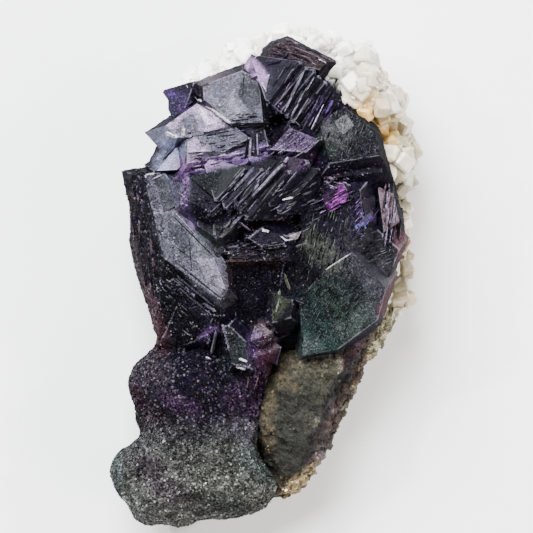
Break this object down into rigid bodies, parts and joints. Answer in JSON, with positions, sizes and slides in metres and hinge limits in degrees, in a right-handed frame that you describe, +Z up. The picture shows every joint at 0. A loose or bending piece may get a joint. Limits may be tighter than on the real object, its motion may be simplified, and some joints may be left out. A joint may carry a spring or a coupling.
{
  "type": "fluorite specimen on matrix",
  "caption": "Cluster of intergrown dark purple octahedral fluorite with stepped faces, on a lump of rock with a pale blocky crystal crust along its rim.",
  "frame": {"origin": "on the table, under the middle of the bounding box of the specimen as it lies on its rock", "axes": "+Z up, out of the crystal side; +Y along the specimen's length, towards the pale crust at its top end; +X to the right as one looks down on it"},
  "size_m": [0.0688, 0.1114, 0.0429],
  "materials": {
    "fluorite": "dark purple to green-black, glassy crystal faces with a lavender sheen, sugary and matte on the lower lobe",
    "host_rock": "olive-grey rough fracture with a purple vein along one edge",
    "pale_crystals": "milky white to honey-brown, glassy blocky crystals"
  },
  "bodies": {
    "root": {"fluorite_crystals": "fluorite", "host_rock": "host_rock", "pale_crystal_crust": "pale_crystals"}
  },
  "joints": []
}
